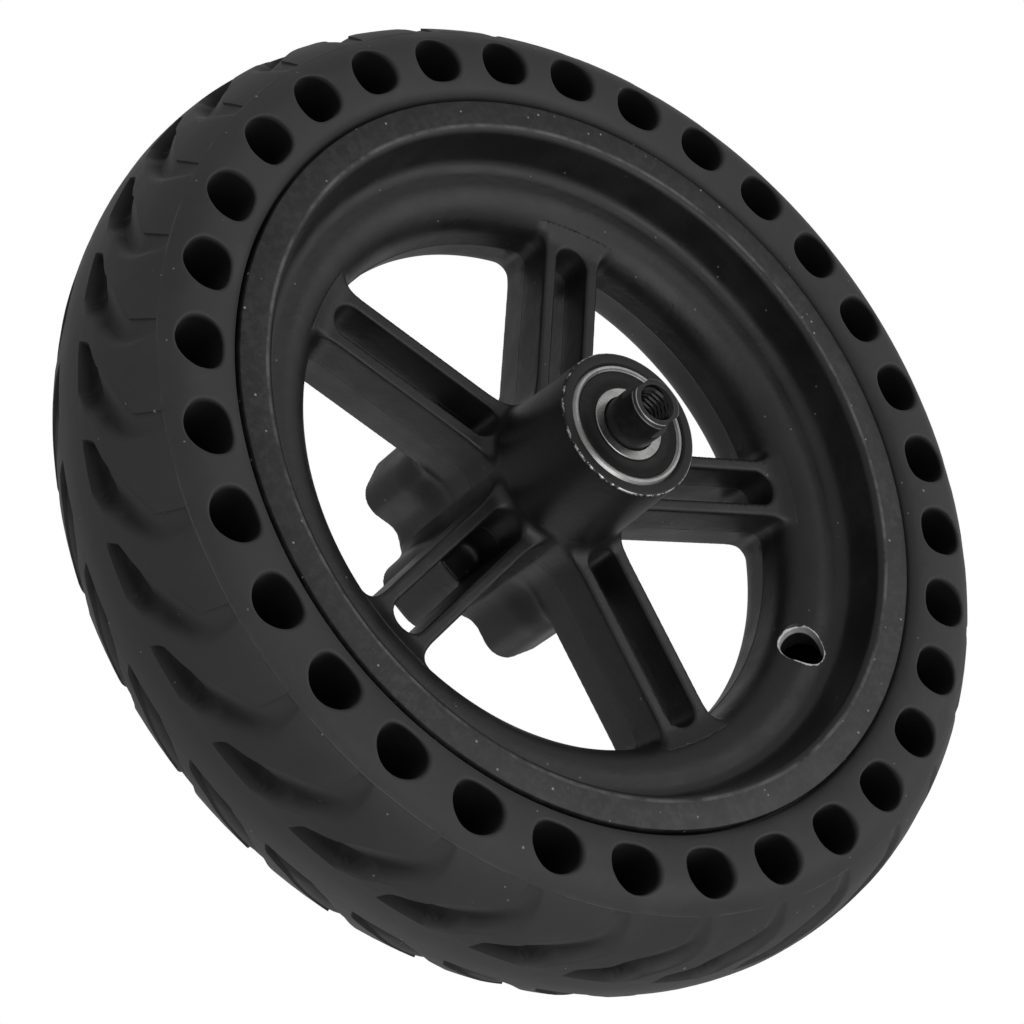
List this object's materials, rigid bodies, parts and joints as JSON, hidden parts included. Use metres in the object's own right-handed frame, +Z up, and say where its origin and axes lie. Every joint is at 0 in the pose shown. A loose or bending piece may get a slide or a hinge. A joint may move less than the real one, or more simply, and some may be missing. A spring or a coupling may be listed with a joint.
{
  "type": "scooter wheel",
  "caption": "Un-driven scooter wheel: solid holed rubber tyre on a spoked cast wheel that turns on two sealed ball bearings about a fixed through axle with flats.",
  "frame": {"origin": "middle of the tyre's width on the spin axis, which is also the middle of the axle's length", "axes": "+Y along the axle towards the brake disc side, +Z up, square to the flats on the axle's ends"},
  "size_m": [0.223, 0.0896, 0.223],
  "materials": {
    "tyre_rubber": "matte moulded rubber",
    "wheel_paint": "satin black paint on cast metal",
    "axle_black": "black oxide",
    "bearing_steel": "ground steel",
    "ball_steel": "polished",
    "cage_steel": "pressed steel",
    "seal_rubber": "moulded rubber"
  },
  "bodies": {
    "axle": {"axle": "axle_black", "near_inner_ring": "bearing_steel", "far_inner_ring": "bearing_steel"},
    "wheel": {"wheel_casting": "wheel_paint", "tyre": "tyre_rubber", "near_outer_ring": "bearing_steel", "near_outer_seal": "seal_rubber", "near_outer_seal_disc": "cage_steel", "near_inner_seal": "seal_rubber", "near_inner_seal_disc": "cage_steel", "far_outer_ring": "bearing_steel", "far_outer_seal": "seal_rubber", "far_outer_seal_disc": "cage_steel", "far_inner_seal": "seal_rubber", "far_inner_seal_disc": "cage_steel"},
    "near_cage": {"near_cage_outer_half": "cage_steel", "near_cage_inner_half": "cage_steel", "near_cage_rivets": "cage_steel"},
    "near_ball_1_body": {"near_ball_1": "ball_steel"},
    "near_ball_2_body": {"near_ball_2": "ball_steel"},
    "near_ball_3_body": {"near_ball_3": "ball_steel"},
    "near_ball_4_body": {"near_ball_4": "ball_steel"},
    "near_ball_5_body": {"near_ball_5": "ball_steel"},
    "near_ball_6_body": {"near_ball_6": "ball_steel"},
    "near_ball_7_body": {"near_ball_7": "ball_steel"},
    "near_ball_8_body": {"near_ball_8": "ball_steel"},
    "far_cage": {"far_cage_outer_half": "cage_steel", "far_cage_inner_half": "cage_steel", "far_cage_rivets": "cage_steel"},
    "far_ball_1_body": {"far_ball_1": "ball_steel"},
    "far_ball_2_body": {"far_ball_2": "ball_steel"},
    "far_ball_3_body": {"far_ball_3": "ball_steel"},
    "far_ball_4_body": {"far_ball_4": "ball_steel"},
    "far_ball_5_body": {"far_ball_5": "ball_steel"},
    "far_ball_6_body": {"far_ball_6": "ball_steel"},
    "far_ball_7_body": {"far_ball_7": "ball_steel"},
    "far_ball_8_body": {"far_ball_8": "ball_steel"}
  },
  "joints": [
    {"name": "wheel_spin", "type": "hinge", "parent": "axle", "child": "wheel", "pos_m": [0, 0, 0], "axis": [0, 1, 0], "continuous": true},
    {"name": "near_cage_spin", "type": "hinge", "parent": "axle", "child": "near_cage", "pos_m": [0, -0.0305, 0], "axis": [0, 1, 0], "continuous": true},
    {"name": "near_ball_1_spin", "type": "hinge", "parent": "near_cage", "child": "near_ball_1_body", "pos_m": [0.01, -0.0305, 0], "axis": [0, 1, 0], "continuous": true},
    {"name": "near_ball_2_spin", "type": "hinge", "parent": "near_cage", "child": "near_ball_2_body", "pos_m": [0.00707, -0.0305, 0.00707], "axis": [0, 1, 0], "continuous": true},
    {"name": "near_ball_3_spin", "type": "hinge", "parent": "near_cage", "child": "near_ball_3_body", "pos_m": [0, -0.0305, 0.01], "axis": [0, 1, 0], "continuous": true},
    {"name": "near_ball_4_spin", "type": "hinge", "parent": "near_cage", "child": "near_ball_4_body", "pos_m": [-0.00707, -0.0305, 0.00707], "axis": [0, 1, 0], "continuous": true},
    {"name": "near_ball_5_spin", "type": "hinge", "parent": "near_cage", "child": "near_ball_5_body", "pos_m": [-0.01, -0.0305, 0], "axis": [0, 1, 0], "continuous": true},
    {"name": "near_ball_6_spin", "type": "hinge", "parent": "near_cage", "child": "near_ball_6_body", "pos_m": [-0.00707, -0.0305, -0.00707], "axis": [0, 1, 0], "continuous": true},
    {"name": "near_ball_7_spin", "type": "hinge", "parent": "near_cage", "child": "near_ball_7_body", "pos_m": [0, -0.0305, -0.01], "axis": [0, 1, 0], "continuous": true},
    {"name": "near_ball_8_spin", "type": "hinge", "parent": "near_cage", "child": "near_ball_8_body", "pos_m": [0.00707, -0.0305, -0.00707], "axis": [0, 1, 0], "continuous": true},
    {"name": "far_cage_spin", "type": "hinge", "parent": "axle", "child": "far_cage", "pos_m": [0, 0.0285, 0], "axis": [0, 1, 0], "continuous": true},
    {"name": "far_ball_1_spin", "type": "hinge", "parent": "far_cage", "child": "far_ball_1_body", "pos_m": [0.01, 0.0285, 0], "axis": [0, 1, 0], "continuous": true},
    {"name": "far_ball_2_spin", "type": "hinge", "parent": "far_cage", "child": "far_ball_2_body", "pos_m": [0.00707, 0.0285, 0.00707], "axis": [0, 1, 0], "continuous": true},
    {"name": "far_ball_3_spin", "type": "hinge", "parent": "far_cage", "child": "far_ball_3_body", "pos_m": [0, 0.0285, 0.01], "axis": [0, 1, 0], "continuous": true},
    {"name": "far_ball_4_spin", "type": "hinge", "parent": "far_cage", "child": "far_ball_4_body", "pos_m": [-0.00707, 0.0285, 0.00707], "axis": [0, 1, 0], "continuous": true},
    {"name": "far_ball_5_spin", "type": "hinge", "parent": "far_cage", "child": "far_ball_5_body", "pos_m": [-0.01, 0.0285, 0], "axis": [0, 1, 0], "continuous": true},
    {"name": "far_ball_6_spin", "type": "hinge", "parent": "far_cage", "child": "far_ball_6_body", "pos_m": [-0.00707, 0.0285, -0.00707], "axis": [0, 1, 0], "continuous": true},
    {"name": "far_ball_7_spin", "type": "hinge", "parent": "far_cage", "child": "far_ball_7_body", "pos_m": [0, 0.0285, -0.01], "axis": [0, 1, 0], "continuous": true},
    {"name": "far_ball_8_spin", "type": "hinge", "parent": "far_cage", "child": "far_ball_8_body", "pos_m": [0.00707, 0.0285, -0.00707], "axis": [0, 1, 0], "continuous": true}
  ],
  "couplings": [
    {"joint": "near_cage_spin", "follows": "wheel_spin", "ratio": 0.61905},
    {"joint": "near_ball_1_spin", "follows": "wheel_spin", "ratio": 1.9809},
    {"joint": "near_ball_2_spin", "follows": "wheel_spin", "ratio": 1.9809},
    {"joint": "near_ball_3_spin", "follows": "wheel_spin", "ratio": 1.9809},
    {"joint": "near_ball_4_spin", "follows": "wheel_spin", "ratio": 1.9809},
    {"joint": "near_ball_5_spin", "follows": "wheel_spin", "ratio": 1.9809},
    {"joint": "near_ball_6_spin", "follows": "wheel_spin", "ratio": 1.9809},
    {"joint": "near_ball_7_spin", "follows": "wheel_spin", "ratio": 1.9809},
    {"joint": "near_ball_8_spin", "follows": "wheel_spin", "ratio": 1.9809},
    {"joint": "far_cage_spin", "follows": "wheel_spin", "ratio": 0.61905},
    {"joint": "far_ball_1_spin", "follows": "wheel_spin", "ratio": 1.9809},
    {"joint": "far_ball_2_spin", "follows": "wheel_spin", "ratio": 1.9809},
    {"joint": "far_ball_3_spin", "follows": "wheel_spin", "ratio": 1.9809},
    {"joint": "far_ball_4_spin", "follows": "wheel_spin", "ratio": 1.9809},
    {"joint": "far_ball_5_spin", "follows": "wheel_spin", "ratio": 1.9809},
    {"joint": "far_ball_6_spin", "follows": "wheel_spin", "ratio": 1.9809},
    {"joint": "far_ball_7_spin", "follows": "wheel_spin", "ratio": 1.9809},
    {"joint": "far_ball_8_spin", "follows": "wheel_spin", "ratio": 1.9809}
  ]
}
